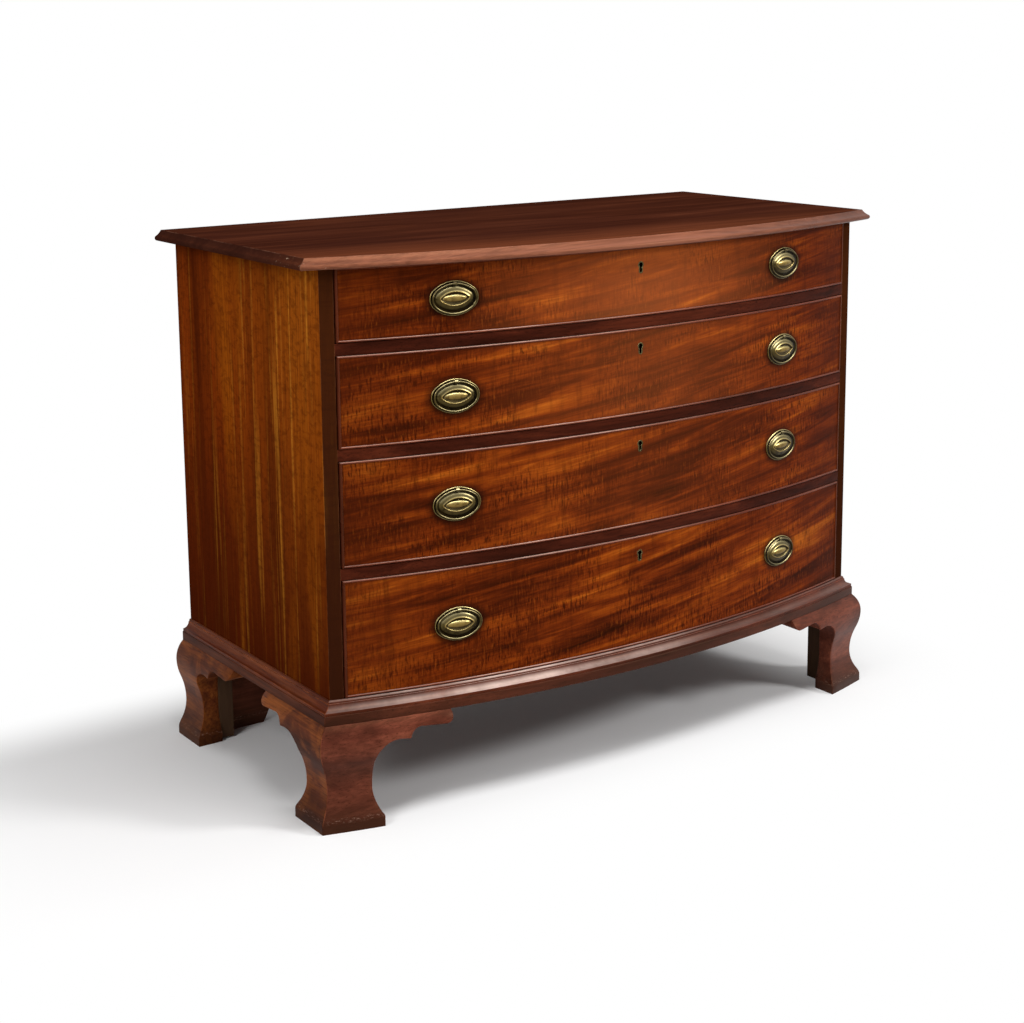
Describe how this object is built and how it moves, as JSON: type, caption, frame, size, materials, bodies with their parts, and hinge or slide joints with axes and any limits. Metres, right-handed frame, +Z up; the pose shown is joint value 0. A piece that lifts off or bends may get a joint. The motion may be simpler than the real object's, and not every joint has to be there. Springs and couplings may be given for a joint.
{
  "type": "bow front chest of drawers",
  "caption": "Bow-front mahogany chest with graduated cock-beaded drawers, oval ring pulls, moulded base and ogee bracket feet.",
  "frame": {"origin": "on the floor under the middle of the overall box, which the top board's outline sets", "axes": "+X to the viewer's right when facing the drawers, +Y to the back of the chest, +Z up"},
  "size_m": [1.0894, 0.5562, 0.83],
  "materials": {
    "mahogany": "shellac polish, satin",
    "figured_mahogany": "figured veneer under shellac polish",
    "pine": "planed, unpolished",
    "brass": "aged, lightly polished",
    "iron": "filed, dull"
  },
  "bodies": {
    "case": {"top_board": "mahogany", "left_side_board": "mahogany", "right_side_board": "mahogany", "bottom_board": "mahogany", "back_boards": "pine", "drawer_rail_1": "mahogany", "drawer_rail_2": "mahogany", "drawer_rail_3": "mahogany", "drawer_runners": "pine", "base_frame": "mahogany", "base_moulding": "mahogany", "front_left_foot": "mahogany", "front_right_foot": "mahogany", "rear_left_foot": "mahogany", "rear_right_foot": "mahogany", "foot_glue_blocks": "pine"},
    "drawer_1": {"drawer_1_front": "figured_mahogany", "drawer_1_sides": "pine", "drawer_1_back": "pine", "drawer_1_bottom": "pine", "drawer_1_cock_bead": "mahogany", "drawer_1_lock": "iron", "drawer_1_front_brasses": "brass", "drawer_1_pull_posts": "brass"},
    "drawer_1_ring_left": {"drawer_1_ring_left": "brass"},
    "drawer_1_ring_right": {"drawer_1_ring_right": "brass"},
    "drawer_1_lock_bolt": {"drawer_1_lock_bolt": "iron"},
    "drawer_2": {"drawer_2_front": "figured_mahogany", "drawer_2_sides": "pine", "drawer_2_back": "pine", "drawer_2_bottom": "pine", "drawer_2_cock_bead": "mahogany", "drawer_2_lock": "iron", "drawer_2_front_brasses": "brass", "drawer_2_pull_posts": "brass"},
    "drawer_2_ring_left": {"drawer_2_ring_left": "brass"},
    "drawer_2_ring_right": {"drawer_2_ring_right": "brass"},
    "drawer_2_lock_bolt": {"drawer_2_lock_bolt": "iron"},
    "drawer_3": {"drawer_3_front": "figured_mahogany", "drawer_3_sides": "pine", "drawer_3_back": "pine", "drawer_3_bottom": "pine", "drawer_3_cock_bead": "mahogany", "drawer_3_lock": "iron", "drawer_3_front_brasses": "brass", "drawer_3_pull_posts": "brass"},
    "drawer_3_ring_left": {"drawer_3_ring_left": "brass"},
    "drawer_3_ring_right": {"drawer_3_ring_right": "brass"},
    "drawer_3_lock_bolt": {"drawer_3_lock_bolt": "iron"},
    "drawer_4": {"drawer_4_front": "figured_mahogany", "drawer_4_sides": "pine", "drawer_4_back": "pine", "drawer_4_bottom": "pine", "drawer_4_cock_bead": "mahogany", "drawer_4_lock": "iron", "drawer_4_front_brasses": "brass", "drawer_4_pull_posts": "brass"},
    "drawer_4_ring_left": {"drawer_4_ring_left": "brass"},
    "drawer_4_ring_right": {"drawer_4_ring_right": "brass"},
    "drawer_4_lock_bolt": {"drawer_4_lock_bolt": "iron"}
  },
  "joints": [
    {"name": "drawer_1_slide", "type": "slide", "parent": "case", "child": "drawer_1", "axis": [0, -1, 0], "range_m": [0, 0.34]},
    {"name": "drawer_1_left_ring_swing", "type": "hinge", "parent": "drawer_1", "child": "drawer_1_ring_left", "pos_m": [-0.31759, -0.23162, 0.78125], "axis": [-0.9851, 0.1721, 0], "range_deg": [0, 95]},
    {"name": "drawer_1_right_ring_swing", "type": "hinge", "parent": "drawer_1", "child": "drawer_1_ring_right", "pos_m": [0.31759, -0.23162, 0.78125], "axis": [-0.9851, -0.1721, 0], "range_deg": [0, 95]},
    {"name": "drawer_1_lock_bolt_shoot", "type": "slide", "parent": "drawer_1", "child": "drawer_1_lock_bolt", "axis": [0, 0, 1], "range_m": [0, 0.008]},
    {"name": "drawer_2_slide", "type": "slide", "parent": "case", "child": "drawer_2", "axis": [0, -1, 0], "range_m": [0, 0.34]},
    {"name": "drawer_2_left_ring_swing", "type": "hinge", "parent": "drawer_2", "child": "drawer_2_ring_left", "pos_m": [-0.31759, -0.23162, 0.64], "axis": [-0.9851, 0.1721, 0], "range_deg": [0, 95]},
    {"name": "drawer_2_right_ring_swing", "type": "hinge", "parent": "drawer_2", "child": "drawer_2_ring_right", "pos_m": [0.31759, -0.23162, 0.64], "axis": [-0.9851, -0.1721, 0], "range_deg": [0, 95]},
    {"name": "drawer_2_lock_bolt_shoot", "type": "slide", "parent": "drawer_2", "child": "drawer_2_lock_bolt", "axis": [0, 0, 1], "range_m": [0, 0.008]},
    {"name": "drawer_3_slide", "type": "slide", "parent": "case", "child": "drawer_3", "axis": [0, -1, 0], "range_m": [0, 0.34]},
    {"name": "drawer_3_left_ring_swing", "type": "hinge", "parent": "drawer_3", "child": "drawer_3_ring_left", "pos_m": [-0.31759, -0.23162, 0.481], "axis": [-0.9851, 0.1721, 0], "range_deg": [0, 95]},
    {"name": "drawer_3_right_ring_swing", "type": "hinge", "parent": "drawer_3", "child": "drawer_3_ring_right", "pos_m": [0.31759, -0.23162, 0.481], "axis": [-0.9851, -0.1721, 0], "range_deg": [0, 95]},
    {"name": "drawer_3_lock_bolt_shoot", "type": "slide", "parent": "drawer_3", "child": "drawer_3_lock_bolt", "axis": [0, 0, 1], "range_m": [0, 0.008]},
    {"name": "drawer_4_slide", "type": "slide", "parent": "case", "child": "drawer_4", "axis": [0, -1, 0], "range_m": [0, 0.34]},
    {"name": "drawer_4_left_ring_swing", "type": "hinge", "parent": "drawer_4", "child": "drawer_4_ring_left", "pos_m": [-0.31759, -0.23162, 0.30075], "axis": [-0.9851, 0.1721, 0], "range_deg": [0, 95]},
    {"name": "drawer_4_right_ring_swing", "type": "hinge", "parent": "drawer_4", "child": "drawer_4_ring_right", "pos_m": [0.31759, -0.23162, 0.30075], "axis": [-0.9851, -0.1721, 0], "range_deg": [0, 95]},
    {"name": "drawer_4_lock_bolt_shoot", "type": "slide", "parent": "drawer_4", "child": "drawer_4_lock_bolt", "axis": [0, 0, 1], "range_m": [0, 0.008]}
  ]
}
